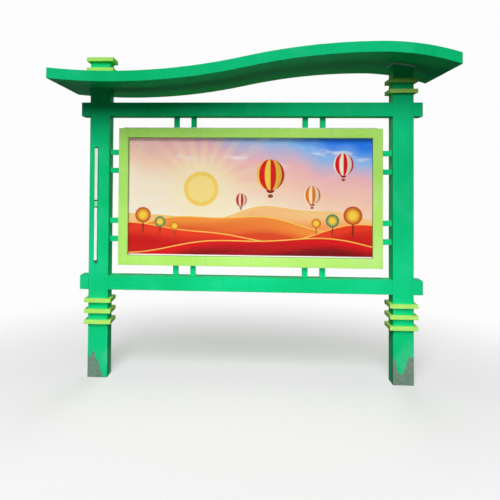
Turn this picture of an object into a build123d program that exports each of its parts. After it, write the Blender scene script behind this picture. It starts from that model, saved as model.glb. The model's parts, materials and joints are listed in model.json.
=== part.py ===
from build123d import *
import math
import os

# A roofed notice board on two square posts: a glazed poster case with a lift-up door hangs on short
# stubs between the posts and two beams, under a wave-shaped box roof.
# X runs along the board, Y from front to rear, Z up. The origin is on the ground, midway between the posts.

os.makedirs("parts", exist_ok=True)

# Clearances
seat_gap = 0.3
pin_gap = 0.05

# Posts and their feet
post_size = 150.0
post_wall = 4.0
tube_corner = 4.0
base_plate_thickness = 12.0
anchor_spacing = 90.0
anchor_hole_diameter = 18.0
hand_hole_width = 80.0
hand_hole_height = 180.0
hand_hole_rise = 60.0
cover_lap = 12.0
cover_thickness = 3.0
cover_bevel = 1.0

# Beams between the posts, with short closed ends outside them
beam_height = 104.0
beam_wall = 3.0
beam_corner = 3.0
beam_reach = 65.0
leg_clearance = 655.0

# Poster board, and the stubs that carry it
board_width = 1964.0
board_height = 1031.0
stub_size = 40.0
stub_wall = 2.5
stub_inset = 3.0
top_stub_length = 89.0
bottom_stub_length = 82.0
side_stub_length = 71.0
stub_row_inner = 418.0
stub_row_pair = 130.0
stub_column_inner = 190.0
stub_column_pair = 138.0
stub_column_lift = 5.5

# Poster case behind the door
case_depth = 80.0
case_tube_width = 20.0
case_wall = 2.0
case_corner = 2.0
back_panel_thickness = 2.0
back_panel_inset = 3.0
board_lap = 18.0
backing_board_thickness = 5.0
poster_thickness = 0.5
poster_setback = 8.0
clamp_width = 12.0
clamp_thickness = 3.0
rail_edge = 327.0
rail_count = 3
rail_crown = 40.0
rail_flange = 20.0
rail_sheet = 1.5

# Door frame section, glazing and gasket
door_setback = 5.0
door_depth = 30.0
door_border = 73.0
door_lip = 16.0
door_lip_depth = 12.0
door_bevel = 5.0
door_edge_radius = 3.0
door_wall = 2.0
glazing_thickness = 4.0
bead_size = 12.0
gasket_thickness = 2.7
gasket_width = 8.0
gasket_inset = 11.0

# One long hinge over the top edge, with its leaves in the gap between the door and the case
hinge_end_margin = 32.0
hinge_knuckles = 5
hinge_leaf_height = 10.0
hinge_leaf_gap = 0.6
hinge_barrel_radius = 3.5
hinge_pin_radius = 1.8

# Gas struts: the pivots hang below the hinge axis, one in front of the case's rear, one behind the axis
strut_case_pivot_inset = 21.5
strut_case_pivot_drop = 350.0
strut_door_pivot_rear = 20.0
strut_door_pivot_drop = 80.0
strut_tube_radius = 8.0
strut_tube_start = 12.0
strut_tube_length = 160.0
strut_floor = 10.0
strut_neck_width = 9.0
strut_eye_radius = 9.0
strut_eye_width = 10.0
strut_rod_radius = 4.0
strut_rod_inside = 112.0
strut_socket_radius = 8.0
strut_ferrule_length = 20.0
strut_pin_radius = 4.0
strut_pin_head_radius = 6.0
strut_pin_head = 2.0
bracket_thickness = 3.0
bracket_width = 34.0
bracket_height = 60.0
bracket_ear_width = 24.0
door_bracket_base = 25.0
door_bracket_height = 50.0
stud_length = 3.0
stud_gap = 0.4

# Cam locks in the underside of the case, and the keepers they hold
lock_axis_offset = 30.0
lock_axis_inset = 18.0
lock_barrel_radius = 9.0
lock_flange_radius = 12.0
lock_flange_height = 4.0
lock_barrel_end = 10.0
lock_nut_across = 24.0
lock_nut_height = 7.0
lock_plug_radius = 6.0
lock_key_length = 8.0
lock_key_width = 1.6
lock_key_depth = 6.0
cam_width = 16.0
cam_thickness = 3.0
cam_lift = 1.0
cam_past_keeper = 3.0
keeper_rail_offset = 100.0
keeper_width = 24.0
keeper_sheet = 3.0
keeper_cam_gap = 4.0
keeper_lip_gap = 2.0
keeper_lip_drop = 10.0
keeper_foot = 14.0

# Square collars on the posts
collar_overhang = 26.0
collar_height = 30.0
collar_bevel = 1.5
lower_collar_drop = 65.0
lower_collar_pitch = 80.0
lower_collar_count = 3
upper_collar_rise = 98.0
upper_collar_pitch = 78.0
upper_collar_count = 2
finial_rise = 160.0
finial_cap_plate = 4.0

# Roof: a box of sheet whose section is one wave, made of three tangent arcs
roof_depth = 930.0
roof_end_overhang = 227.0
roof_thickness = 75.0
roof_sheet = 2.0
fascia_sheet = 2.5
roof_valley_rise = 102.0
roof_valley_inset = 169.0
roof_crest_inset = 223.0
roof_valley_radius = 4417.0
roof_crest_radius = 4437.0
roof_brow_radius = 1669.0
roof_run_out = 60.0
roof_rib_thickness = 4.0
roof_rib_spread = 120.0
roof_rib_middle = 376.0
seal_width = 9.0
seal_height = 11.0

# White strips on the left post
accent_width = 22.0
accent_thickness = 24.0
accent_edge = 2.0
accent_offset = 20.0
accent_clip_length = 42.0
accent_clip_thickness = 20.0
accent_upper_length = 405.0
accent_lower_length = 411.0
accent_rise = 27.0

# Heights, worked out from the ground up
bottom_beam_top = leg_clearance + beam_height
board_bottom = bottom_beam_top + bottom_stub_length
board_top = board_bottom + board_height
top_beam_underside = board_top + top_stub_length
top_beam_top = top_beam_underside + beam_height
board_middle = (board_bottom + board_top) / 2

# Places along X
post_pitch = board_width + 2 * side_stub_length + post_size
post_x = post_pitch / 2
post_inner_x = post_x - post_size / 2
post_outer_x = post_x + post_size / 2
case_inner_x = board_width / 2 - case_tube_width
backing_half_width = board_width / 2 - door_border + board_lap
rail_reach = backing_half_width - rail_edge
roof_half_length = post_outer_x + roof_end_overhang

# Places along Y
post_front = -post_size / 2
door_front = post_front + door_setback
door_rear = door_front + door_depth
case_front = door_rear + gasket_thickness + seat_gap
case_rear = case_front + case_depth
stub_y = case_front + stub_inset + stub_size / 2
poster_front = case_front + poster_setback - poster_thickness
backing_front = poster_front + poster_thickness
backing_rear = backing_front + backing_board_thickness
glazing_front = door_front + door_lip_depth + seat_gap
glazing_rear = glazing_front + glazing_thickness

# Centres and directions of the roof's arcs, in its XZ section
valley_x = -post_x + roof_valley_inset
valley_z = top_beam_top + roof_valley_rise
crest_x = post_x - roof_crest_inset
arc_sum = roof_valley_radius + roof_crest_radius
crest_z = valley_z + arc_sum - math.sqrt(arc_sum**2 - (crest_x - valley_x) ** 2)
roof_peak = crest_z + 2 * roof_thickness
valley_centre = (valley_x, valley_z + roof_valley_radius)
crest_centre = (crest_x, crest_z - roof_crest_radius)
brow_centre = (crest_x, crest_z - roof_brow_radius)
roof_start = math.degrees(math.asin((valley_x + roof_half_length + roof_run_out) / roof_valley_radius))
roof_swing = math.degrees(math.asin((crest_x - valley_x) / arc_sum))
roof_finish = math.degrees(math.asin((roof_half_length + roof_run_out - crest_x) / roof_brow_radius))


def wave_band(low, high):
    """Strip of the roof's section between two offsets above the soffit, longer than the roof at both ends."""
    with BuildSketch() as band:
        with BuildLine():
            ends = []
            for rise in (low, high):
                valley_radius = roof_valley_radius - rise
                valley = CenterArc(valley_centre, valley_radius, -90 - roof_start, roof_start + roof_swing)
                CenterArc(crest_centre, roof_crest_radius + rise, 90 + roof_swing, -roof_swing)
                brow = CenterArc(brow_centre, roof_brow_radius + rise, 90, -roof_finish)
                ends.append((valley @ 0, brow @ 1))
            Line(ends[0][0], ends[1][0])
            Line(ends[0][1], ends[1][1])
        make_face()
    return band.sketch


def soffit_height(x):
    """Height of the soffit's underside over the left half of the valley arc."""
    return valley_centre[1] - math.sqrt(roof_valley_radius**2 - (x - valley_x) ** 2)


finial_top = soffit_height(-post_x) + roof_thickness + finial_rise
post_cut_band = wave_band(-seat_gap, 2 * roof_thickness)
shell_band = wave_band(0, roof_thickness)
soffit_band = wave_band(0, roof_sheet)
top_band = wave_band(roof_thickness - roof_sheet, roof_thickness)
rib_band = wave_band(roof_sheet + seat_gap, roof_thickness - roof_sheet - seat_gap)
seal_band = wave_band(-seat_gap - seal_height, -seat_gap)

# Posts: square tubes, the left one through the roof and the right one cut to the soffit's curve
for side, sign in (("left", -1), ("right", 1)):
    post_top = finial_top - finial_cap_plate - seat_gap if sign < 0 else crest_z
    with BuildPart() as post:
        with BuildSketch(Plane.XY.offset(base_plate_thickness)):
            with Locations((sign * post_x, 0)):
                RectangleRounded(post_size, post_size, tube_corner)
            offset(amount=-post_wall, kind=Kind.INTERSECTION, mode=Mode.SUBTRACT)
        extrude(amount=post_top - base_plate_thickness)
        if sign > 0:
            with BuildSketch(Plane.XZ.offset(post_size)):
                add(post_cut_band)
            extrude(amount=-2 * post_size, mode=Mode.SUBTRACT)
        with BuildSketch(Plane.XZ.offset(-post_size / 2)):
            with Locations((sign * post_x, hand_hole_rise + hand_hole_height / 2)):
                Rectangle(hand_hole_width, hand_hole_height)
        extrude(amount=post_size / 2, mode=Mode.SUBTRACT)
    post.part.label = f"{side}_post"
    export_step(post.part, f"parts/{side}_post.step")

    with BuildPart() as base_plate:
        with BuildSketch():
            with Locations((sign * post_x, 0)):
                Rectangle(post_size, post_size)
                with GridLocations(anchor_spacing, anchor_spacing, 2, 2):
                    Circle(anchor_hole_diameter / 2, mode=Mode.SUBTRACT)
        extrude(amount=base_plate_thickness)
    base_plate.part.label = f"{side}_base_plate"
    export_step(base_plate.part, f"parts/{side}_base_plate.step")

    with BuildPart() as cover:
        with BuildSketch(Plane.XZ.offset(-post_size / 2)):
            with Locations((sign * post_x, hand_hole_rise + hand_hole_height / 2)):
                Rectangle(hand_hole_width + 2 * cover_lap, hand_hole_height + 2 * cover_lap)
        extrude(amount=-cover_thickness)
        chamfer(cover.faces().sort_by(Axis.Y)[-1].edges(), cover_bevel)
    cover.part.label = f"{side}_hand_hole_cover"
    export_step(cover.part, f"parts/{side}_hand_hole_cover.step")

# Beams: tubes flush with the posts, and their closed ends outside the posts
for level, underside in (("top", top_beam_underside), ("bottom", leg_clearance)):
    with BuildPart() as beam:
        with BuildSketch(Plane.YZ.offset(-post_inner_x)):
            with Locations((0, underside + beam_height / 2)):
                RectangleRounded(post_size, beam_height, beam_corner)
            offset(amount=-beam_wall, kind=Kind.INTERSECTION, mode=Mode.SUBTRACT)
        extrude(amount=2 * post_inner_x)
    beam.part.label = f"{level}_beam"
    export_step(beam.part, f"parts/{level}_beam.step")

    with BuildPart() as beam_ends:
        for sign in (-1, 1):
            with BuildSketch(Plane.YZ.offset(sign * post_outer_x)):
                with Locations((0, underside + beam_height / 2)):
                    RectangleRounded(post_size, beam_height, beam_corner)
                offset(amount=-beam_wall, kind=Kind.INTERSECTION, mode=Mode.SUBTRACT)
            extrude(amount=sign * (beam_reach - beam_wall))
            with BuildSketch(Plane.YZ.offset(sign * (post_outer_x + beam_reach - beam_wall))):
                with Locations((0, underside + beam_height / 2)):
                    RectangleRounded(post_size, beam_height, beam_corner)
            extrude(amount=sign * beam_wall)
    beam_ends.part.label = f"{level}_beam_ends"
    export_step(beam_ends.part, f"parts/{level}_beam_ends.step")

# Collars: square rings in rows along the posts, and the finial cap that closes the left post
collar_size = post_size + 2 * collar_overhang
collar_bore = post_size + 2 * seat_gap
upper_collar_top = top_beam_top + upper_collar_rise + upper_collar_pitch
lower_collar_top = leg_clearance - lower_collar_drop
lower_collar_tops = [lower_collar_top - i * lower_collar_pitch for i in range(lower_collar_count)]
upper_collar_tops = [upper_collar_top - i * upper_collar_pitch for i in range(upper_collar_count)]
collar_rows = {
    "left_lower_collars": (-post_x, lower_collar_tops),
    "right_lower_collars": (post_x, lower_collar_tops),
    "right_upper_collars": (post_x, upper_collar_tops),
    "left_finial_collar": (-post_x, [finial_top - upper_collar_pitch]),
    "left_finial_cap": (-post_x, [finial_top]),
}
for label, (x, tops) in collar_rows.items():
    bore_height = collar_height - finial_cap_plate if label == "left_finial_cap" else collar_height
    with BuildPart() as collars:
        for top in tops:
            with BuildSketch(Plane.XY.offset(top - collar_height)):
                with Locations((x, 0)):
                    Rectangle(collar_size, collar_size)
            extrude(amount=collar_height)
        outer_corners = collars.edges().filter_by(Axis.Z)
        outer_rims = collars.faces().filter_by(Axis.Z).edges()
        chamfer(outer_corners + outer_rims, collar_bevel)
        for top in tops:
            with BuildSketch(Plane.XY.offset(top - collar_height)):
                with Locations((x, 0)):
                    Rectangle(collar_bore, collar_bore)
            extrude(amount=bore_height, mode=Mode.SUBTRACT)
    collars.part.label = label
    export_step(collars.part, f"parts/{label}.step")

# Roof sheets and fascias
roof_front = -roof_depth / 2
shell_front = roof_front + fascia_sheet
shell_depth = roof_depth - 2 * fascia_sheet
shell_half_length = roof_half_length - fascia_sheet
post_hole = post_size + 2 * seat_gap
for label, band in (("roof_soffit", soffit_band), ("roof_top_sheet", top_band)):
    with BuildPart() as sheet:
        with BuildSketch(Plane.XZ.offset(-shell_front)):
            add(band)
        extrude(amount=-shell_depth)
        split(bisect_by=Plane.YZ.offset(-shell_half_length), keep=Keep.TOP)
        split(bisect_by=Plane.YZ.offset(shell_half_length), keep=Keep.BOTTOM)
        with BuildSketch(Plane.XY.offset(top_beam_top)):
            with Locations((-post_x, 0)):
                Rectangle(post_hole, post_hole)
        extrude(amount=roof_peak - top_beam_top, mode=Mode.SUBTRACT)
    sheet.part.label = label
    export_step(sheet.part, f"parts/{label}.step")

for label, front in (("roof_front_fascia", roof_front), ("roof_rear_fascia", -roof_front - fascia_sheet)):
    with BuildPart() as fascia:
        with BuildSketch(Plane.XZ.offset(-front)):
            add(shell_band)
        extrude(amount=-fascia_sheet)
        split(bisect_by=Plane.YZ.offset(-roof_half_length), keep=Keep.TOP)
        split(bisect_by=Plane.YZ.offset(roof_half_length), keep=Keep.BOTTOM)
    fascia.part.label = label
    export_step(fascia.part, f"parts/{label}.step")

for label, low_x in (("roof_left_end", -roof_half_length), ("roof_right_end", shell_half_length)):
    with BuildPart() as roof_end:
        with BuildSketch(Plane.XZ.offset(-shell_front)):
            add(shell_band)
        extrude(amount=-shell_depth)
        split(bisect_by=Plane.YZ.offset(low_x), keep=Keep.TOP)
        split(bisect_by=Plane.YZ.offset(low_x + fascia_sheet), keep=Keep.BOTTOM)
    roof_end.part.label = label
    export_step(roof_end.part, f"parts/{label}.step")

# Ribs inside the roof, beside each post and across the middle
rib_places = [(-post_x - roof_rib_spread, 0), (-post_x + roof_rib_spread, 0)]
rib_places += [(-roof_rib_middle, 0), (roof_rib_middle, 0)]
rib_places += [(post_x - roof_rib_spread, 0), (post_x + roof_rib_spread, 0)]
with BuildPart() as roof_ribs:
    with BuildSketch(Plane.XZ.offset(-shell_front - seat_gap)):
        add(rib_band)
    extrude(amount=-shell_depth + 2 * seat_gap)
    with BuildSketch(Plane.XY.offset(top_beam_top)):
        with Locations(*rib_places):
            Rectangle(roof_rib_thickness, roof_depth)
    extrude(amount=roof_peak - top_beam_top, mode=Mode.INTERSECT)
roof_ribs.part.label = "roof_ribs"
export_step(roof_ribs.part, "parts/roof_ribs.step")

# Sealant bead where the right post meets the soffit
with BuildPart() as right_roof_seal:
    with BuildSketch(Plane.XZ.offset(post_size)):
        add(seal_band)
    extrude(amount=-2 * post_size)
    with BuildSketch(Plane.XY.offset(top_beam_top)):
        with Locations((post_x, 0)):
            Rectangle(post_hole + 2 * seal_width, post_hole + 2 * seal_width)
            Rectangle(post_hole, post_hole, mode=Mode.SUBTRACT)
    extrude(amount=roof_peak - top_beam_top, mode=Mode.INTERSECT)
right_roof_seal.part.label = "right_roof_seal"
export_step(right_roof_seal.part, "parts/right_roof_seal.step")

# Stubs: short square tubes from the beams and posts to the poster case
stub_row_outer = stub_row_inner + stub_row_pair
stub_column_outer = stub_column_inner + stub_column_pair
stub_columns = [-stub_row_outer, -stub_row_inner, stub_row_inner, stub_row_outer]
stub_levels = [
    board_middle + stub_column_lift + rise
    for rise in (-stub_column_outer, -stub_column_inner, stub_column_inner, stub_column_outer)
]
row_places = [(x, stub_y) for x in stub_columns]
column_places = [(stub_y, z) for z in stub_levels]
stub_rows = {
    "top_stubs": (Plane.XY.offset(board_top), row_places, top_stub_length),
    "bottom_stubs": (Plane.XY.offset(bottom_beam_top), row_places, bottom_stub_length),
    "left_stubs": (Plane.YZ.offset(-post_inner_x), column_places, side_stub_length),
    "right_stubs": (Plane.YZ.offset(board_width / 2), column_places, side_stub_length),
}
for label, (plane, places, length) in stub_rows.items():
    with BuildPart() as stubs:
        with BuildSketch(plane):
            with Locations(*places):
                Rectangle(stub_size, stub_size)
                Rectangle(stub_size - 2 * stub_wall, stub_size - 2 * stub_wall, mode=Mode.SUBTRACT)
        extrude(amount=length)
    stubs.part.label = label
    export_step(stubs.part, f"parts/{label}.step")

# White strips end to end on the left post, with a clip between them
accent_x = -post_x - accent_offset
accent_bottom = board_bottom + accent_rise
accent_clip_bottom = accent_bottom + accent_lower_length
accent_pieces = {
    "lower_accent_strip": (accent_bottom, accent_lower_length, accent_thickness),
    "accent_strip_clip": (accent_clip_bottom, accent_clip_length, accent_clip_thickness),
    "upper_accent_strip": (accent_clip_bottom + accent_clip_length, accent_upper_length, accent_thickness),
}
for label, (bottom, length, thickness) in accent_pieces.items():
    with BuildPart() as strip:
        with BuildSketch(Plane.XZ.offset(-post_front)):
            with Locations((accent_x, bottom + length / 2)):
                Rectangle(accent_width, length)
        extrude(amount=thickness)
        fillet(strip.faces().sort_by(Axis.Y)[0].edges().filter_by(Axis.Z), accent_edge)
    strip.part.label = label
    export_step(strip.part, f"parts/{label}.step")

# The four sides of the board: direction along it, direction inwards, its length and the width across
board_sides = {
    "top": (Vector(1, 0, 0), Vector(0, 0, -1), board_width, board_height),
    "bottom": (Vector(-1, 0, 0), Vector(0, 0, 1), board_width, board_height),
    "left": (Vector(0, 0, 1), Vector(1, 0, 0), board_height, board_width),
    "right": (Vector(0, 0, -1), Vector(-1, 0, 0), board_height, board_width),
}
board_centre = Vector(0, 0, board_middle)
keeper_x = rail_reach + keeper_rail_offset
lock_y = case_rear - lock_axis_inset
lock_x = keeper_x + lock_axis_offset

# Case: rectangular tubes, mitred at the corners, the lower one bored for the locks
for side, (along, inward, length, across) in board_sides.items():
    start = board_centre - along * (length / 2) - inward * (across / 2)
    finish = start + along * length
    with BuildPart() as case_tube:
        with BuildSketch(Plane(origin=start + Vector(0, case_front, 0), x_dir=inward, z_dir=along)):
            with Locations((case_tube_width / 2, case_depth / 2)):
                RectangleRounded(case_tube_width, case_depth, case_corner)
            offset(amount=-case_wall, kind=Kind.INTERSECTION, mode=Mode.SUBTRACT)
        extrude(amount=length)
        split(bisect_by=Plane(origin=start, z_dir=along - inward))
        split(bisect_by=Plane(origin=finish, z_dir=-along - inward))
        if side == "bottom":
            with BuildSketch(Plane.XY.offset(board_bottom)):
                with Locations((-lock_x, lock_y), (lock_x, lock_y)):
                    Circle(lock_barrel_radius + seat_gap)
            extrude(amount=case_tube_width, mode=Mode.SUBTRACT)
    case_tube.part.label = f"case_{side}_tube"
    export_step(case_tube.part, f"parts/case_{side}_tube.step")

with BuildPart() as case_back_panel:
    with BuildSketch(Plane.XZ.offset(-case_rear)):
        with Locations((0, board_middle)):
            Rectangle(board_width - 2 * back_panel_inset, board_height - 2 * back_panel_inset)
    extrude(amount=-back_panel_thickness)
case_back_panel.part.label = "case_back_panel"
export_step(case_back_panel.part, "parts/case_back_panel.step")

# Hat-section rails that stand between the back panel and the backing board
with BuildPart() as board_rails:
    with BuildSketch(Plane.XY.offset(board_bottom + case_tube_width)):
        with GridLocations(2 * rail_reach / (rail_count - 1), 1, rail_count, 1):
            with Locations((0, (backing_rear + case_rear) / 2)):
                Rectangle(rail_crown, case_rear - backing_rear)
            with Locations((0, (backing_rear + rail_sheet + case_rear) / 2)):
                Rectangle(
                    rail_crown - 2 * rail_sheet,
                    case_rear - backing_rear - rail_sheet,
                    mode=Mode.SUBTRACT,
                )
            for sign in (-1, 1):
                with Locations((sign * (rail_crown + rail_flange) / 2, case_rear - rail_sheet / 2)):
                    Rectangle(rail_flange, rail_sheet)
    extrude(amount=board_height - 2 * case_tube_width)
board_rails.part.label = "board_rails"
export_step(board_rails.part, "parts/board_rails.step")

backing_half_height = board_height / 2 - door_border + board_lap
with BuildPart() as backing_board:
    with BuildSketch(Plane.XZ.offset(-backing_front)):
        with Locations((0, board_middle)):
            Rectangle(2 * backing_half_width, 2 * backing_half_height)
    extrude(amount=-backing_board_thickness)
backing_board.part.label = "backing_board"
export_step(backing_board.part, "parts/backing_board.step")

with BuildPart() as poster_sheet:
    with BuildSketch(Plane.XZ.offset(-poster_front)):
        with Locations((0, board_middle)):
            Rectangle(2 * backing_half_width, 2 * backing_half_height)
    extrude(amount=-poster_thickness)
poster_sheet.part.label = "poster_sheet"
export_step(poster_sheet.part, "parts/poster_sheet.step")

with BuildPart() as poster_clamps:
    with BuildSketch(Plane.XZ.offset(-poster_front)):
        with Locations((0, board_middle)):
            with GridLocations(1, 2 * backing_half_height - clamp_width, 1, 2):
                Rectangle(2 * backing_half_width, clamp_width)
    extrude(amount=clamp_thickness)
poster_clamps.part.label = "poster_clamps"
export_step(poster_clamps.part, "parts/poster_clamps.step")

# Door: hollow mitred rails with a bevelled lip in front of the glazing
door_box = door_border - door_lip
door_names = {
    "top": "door_top_rail",
    "bottom": "door_bottom_rail",
    "left": "door_left_stile",
    "right": "door_right_stile",
}
for side, (along, inward, length, across) in board_sides.items():
    start = board_centre - along * (length / 2) - inward * (across / 2)
    finish = start + along * length
    with BuildPart() as door_side:
        section_plane = Plane(origin=start + Vector(0, door_front, 0), x_dir=inward, z_dir=along)
        with BuildSketch(section_plane) as section:
            with BuildLine():
                Polyline(
                    (0, 0),
                    (door_border - door_bevel, 0),
                    (door_border, door_bevel),
                    (door_border, door_lip_depth),
                    (door_box, door_lip_depth),
                    (door_box, door_depth),
                    (0, door_depth),
                    close=True,
                )
            make_face()
            offset(amount=-door_wall, kind=Kind.INTERSECTION, mode=Mode.SUBTRACT)
            fillet(section.vertices().sort_by_distance((0, 0))[0], door_edge_radius)
        extrude(amount=length)
        split(bisect_by=Plane(origin=start, z_dir=along - inward))
        split(bisect_by=Plane(origin=finish, z_dir=-along - inward))
    door_side.part.label = door_names[side]
    export_step(door_side.part, f"parts/{door_names[side]}.step")

with BuildPart() as door_glazing:
    with BuildSketch(Plane.XZ.offset(-glazing_front)):
        with Locations((0, board_middle)):
            Rectangle(
                board_width - 2 * (door_box + seat_gap),
                board_height - 2 * (door_box + seat_gap),
            )
    extrude(amount=-glazing_thickness)
door_glazing.part.label = "door_glazing"
export_step(door_glazing.part, "parts/door_glazing.step")

# Bead that holds the glazing against the lip, and the gasket between the door and the case
with BuildPart() as glazing_bead:
    with BuildSketch(Plane.XZ.offset(-glazing_rear - seat_gap)):
        with Locations((0, board_middle)):
            Rectangle(board_width - 2 * door_box, board_height - 2 * door_box)
            Rectangle(
                board_width - 2 * (door_box + bead_size),
                board_height - 2 * (door_box + bead_size),
                mode=Mode.SUBTRACT,
            )
    extrude(amount=-bead_size)
glazing_bead.part.label = "glazing_bead"
export_step(glazing_bead.part, "parts/glazing_bead.step")

with BuildPart() as door_gasket:
    with BuildSketch(Plane.XZ.offset(-door_rear)):
        with Locations((0, board_middle)):
            Rectangle(board_width - 2 * gasket_inset, board_height - 2 * gasket_inset)
            Rectangle(
                board_width - 2 * (gasket_inset + gasket_width),
                board_height - 2 * (gasket_inset + gasket_width),
                mode=Mode.SUBTRACT,
            )
    extrude(amount=-gasket_thickness)
door_gasket.part.label = "door_gasket"
export_step(door_gasket.part, "parts/door_gasket.step")

# Hinge: knuckles of the two leaves take turns along one pin above the top edge
hinge_y = (door_rear + case_front) / 2
hinge_z = board_top + seat_gap + hinge_barrel_radius
hinge_length = board_width - 2 * hinge_end_margin
hinge_start = -hinge_length / 2
knuckle_pitch = hinge_length / hinge_knuckles
knuckle_length = knuckle_pitch - seat_gap
leaf_thickness = (case_front - door_rear - hinge_leaf_gap) / 2
hinge_leaves = {
    "hinge_case_leaf": (case_front - leaf_thickness / 2, 0),
    "hinge_door_leaf": (door_rear + leaf_thickness / 2, 1),
}
for label, (leaf_y, first) in hinge_leaves.items():
    knuckles = [hinge_start + k * knuckle_pitch for k in range(first, hinge_knuckles, 2)]
    with BuildPart() as leaf:
        with BuildSketch(Plane.YZ.offset(hinge_start)):
            with Locations((leaf_y, board_top - hinge_leaf_height / 2)):
                Rectangle(leaf_thickness, hinge_leaf_height)
        extrude(amount=hinge_length - seat_gap)
        for knuckle_x in knuckles:
            with BuildSketch(Plane.YZ.offset(knuckle_x)):
                with Locations((leaf_y, (board_top + hinge_z) / 2)):
                    Rectangle(leaf_thickness, hinge_z - board_top)
                with Locations((hinge_y, hinge_z)):
                    Circle(hinge_barrel_radius)
            extrude(amount=knuckle_length)
        with BuildSketch(Plane.YZ.offset(hinge_start)):
            with Locations((hinge_y, hinge_z)):
                Circle(hinge_pin_radius + pin_gap)
        extrude(amount=hinge_length, mode=Mode.SUBTRACT)
    leaf.part.label = label
    export_step(leaf.part, f"parts/{label}.step")

with BuildPart() as hinge_pin:
    with BuildSketch(Plane.YZ.offset(hinge_start)):
        with Locations((hinge_y, hinge_z)):
            Circle(hinge_pin_radius)
    extrude(amount=hinge_length - seat_gap)
hinge_pin.part.label = "hinge_pin"
export_step(hinge_pin.part, "parts/hinge_pin.step")

# Gas struts in the side pockets of the case, between its side tubes and the backing board
strut_x = (case_inner_x + backing_half_width) / 2
case_pivot = Vector(0, case_rear - strut_case_pivot_inset, hinge_z - strut_case_pivot_drop)
door_pivot = Vector(0, hinge_y + strut_door_pivot_rear, hinge_z - strut_door_pivot_drop)
strut_line = door_pivot - case_pivot
strut_length = strut_line.length
strut_mouth = strut_tube_start + strut_tube_length
for side, sign in (("left", -1), ("right", 1)):
    centre = Vector(sign * strut_x, 0, 0)
    strut_plane = Plane(origin=centre + case_pivot, x_dir=(1, 0, 0), z_dir=strut_line)
    eye_plane = Plane.YZ.offset(sign * strut_x - strut_eye_width / 2)
    with BuildPart() as strut_tube:
        with BuildSketch(eye_plane):
            with Locations((case_pivot.Y, case_pivot.Z)):
                Circle(strut_eye_radius)
        extrude(amount=strut_eye_width)
        with BuildSketch(strut_plane):
            Rectangle(strut_eye_width, strut_neck_width)
        extrude(amount=strut_tube_start)
        with BuildSketch(strut_plane.offset(strut_tube_start)):
            Circle(strut_tube_radius)
        extrude(amount=strut_tube_length)
        with BuildSketch(strut_plane.offset(strut_tube_start + strut_floor)):
            Circle(strut_rod_radius + pin_gap)
        extrude(amount=strut_tube_length - strut_floor, mode=Mode.SUBTRACT)
        with BuildSketch(eye_plane):
            with Locations((case_pivot.Y, case_pivot.Z)):
                Circle(strut_pin_radius + pin_gap)
        extrude(amount=strut_eye_width, mode=Mode.SUBTRACT)
    strut_tube.part.label = f"{side}_strut_tube"
    export_step(strut_tube.part, f"parts/{side}_strut_tube.step")

    with BuildPart() as strut_rod:
        with BuildSketch(strut_plane.offset(strut_mouth - strut_rod_inside)):
            Circle(strut_rod_radius)
        extrude(amount=strut_length - strut_mouth + strut_rod_inside)
        with BuildSketch(strut_plane.offset(strut_length - strut_ferrule_length)):
            Circle(strut_eye_width / 2 - seat_gap)
        extrude(amount=strut_ferrule_length - strut_socket_radius / 2)
        with BuildSketch(eye_plane):
            with Locations((door_pivot.Y, door_pivot.Z)):
                Circle(strut_socket_radius)
        extrude(amount=strut_eye_width)
    strut_rod.part.label = f"{side}_strut_rod"
    export_step(strut_rod.part, f"parts/{side}_strut_rod.step")

# Strut brackets: a plate with a headed pin on each side tube, and an eared plate on each door stile
with BuildPart() as strut_case_brackets:
    for sign in (-1, 1):
        with BuildSketch(Plane.YZ.offset(sign * case_inner_x)):
            with Locations((case_pivot.Y, case_pivot.Z)):
                Rectangle(bracket_width, bracket_height)
        extrude(amount=-sign * bracket_thickness)
        with BuildSketch(Plane.YZ.offset(sign * (case_inner_x - bracket_thickness))):
            with Locations((case_pivot.Y, case_pivot.Z)):
                Circle(strut_pin_radius)
        pin_end = strut_x - strut_eye_width / 2 - seat_gap
        extrude(amount=-sign * (case_inner_x - bracket_thickness - pin_end))
        with BuildSketch(Plane.YZ.offset(sign * pin_end)):
            with Locations((case_pivot.Y, case_pivot.Z)):
                Circle(strut_pin_head_radius)
        extrude(amount=-sign * strut_pin_head)
strut_case_brackets.part.label = "strut_case_brackets"
export_step(strut_case_brackets.part, "parts/strut_case_brackets.step")

ear_outer = strut_x + strut_eye_width / 2 + stud_gap + stud_length + bracket_thickness
ear_rear = door_pivot.Y + bracket_ear_width / 2
with BuildPart() as strut_door_brackets:
    for sign in (-1, 1):
        with BuildSketch(Plane.XZ.offset(-door_rear)):
            with Locations((sign * (ear_outer - door_bracket_base / 2), door_pivot.Z)):
                Rectangle(door_bracket_base, door_bracket_height)
        extrude(amount=-bracket_thickness)
        with BuildSketch(Plane.YZ.offset(sign * ear_outer)):
            with Locations(((door_rear + ear_rear) / 2, door_pivot.Z)):
                Rectangle(ear_rear - door_rear, bracket_ear_width)
        extrude(amount=-sign * bracket_thickness)
        with BuildSketch(Plane.YZ.offset(sign * (ear_outer - bracket_thickness))):
            with Locations((door_pivot.Y, door_pivot.Z)):
                Circle(strut_pin_radius)
        extrude(amount=-sign * stud_length)
strut_door_brackets.part.label = "strut_door_brackets"
export_step(strut_door_brackets.part, "parts/strut_door_brackets.step")

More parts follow.
